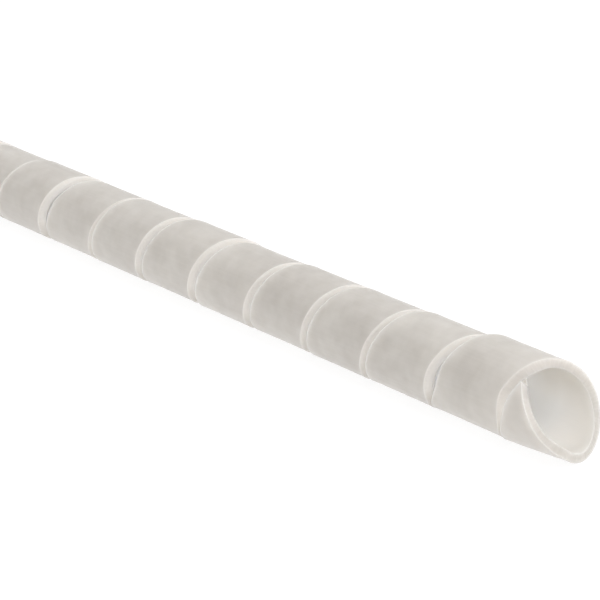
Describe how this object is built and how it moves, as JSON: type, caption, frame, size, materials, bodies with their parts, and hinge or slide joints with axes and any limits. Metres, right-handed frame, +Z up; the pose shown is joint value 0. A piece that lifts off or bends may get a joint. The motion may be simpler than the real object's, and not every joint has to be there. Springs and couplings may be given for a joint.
{
  "type": "spiral cable wrap",
  "caption": "Helically slit polyethylene tube, one strip wound in open turns, that winds around a bundle of cables; one end square, the other snipped at a slant.",
  "frame": {"origin": "middle of the bounding box's underside: halfway along the wrap, on the surface it lies on", "axes": "+X along the wrap towards the slanted free end, -X towards the square-cut end, +Z up"},
  "size_m": [1, 0.0132, 0.0126],
  "materials": {
    "natural_polyethylene": "natural uncoloured polyethylene, milky and translucent, waxy satin skin, whiter where the slit and the ends are cut"
  },
  "bodies": {
    "root": {"spiral_strip": "natural_polyethylene"}
  },
  "joints": []
}
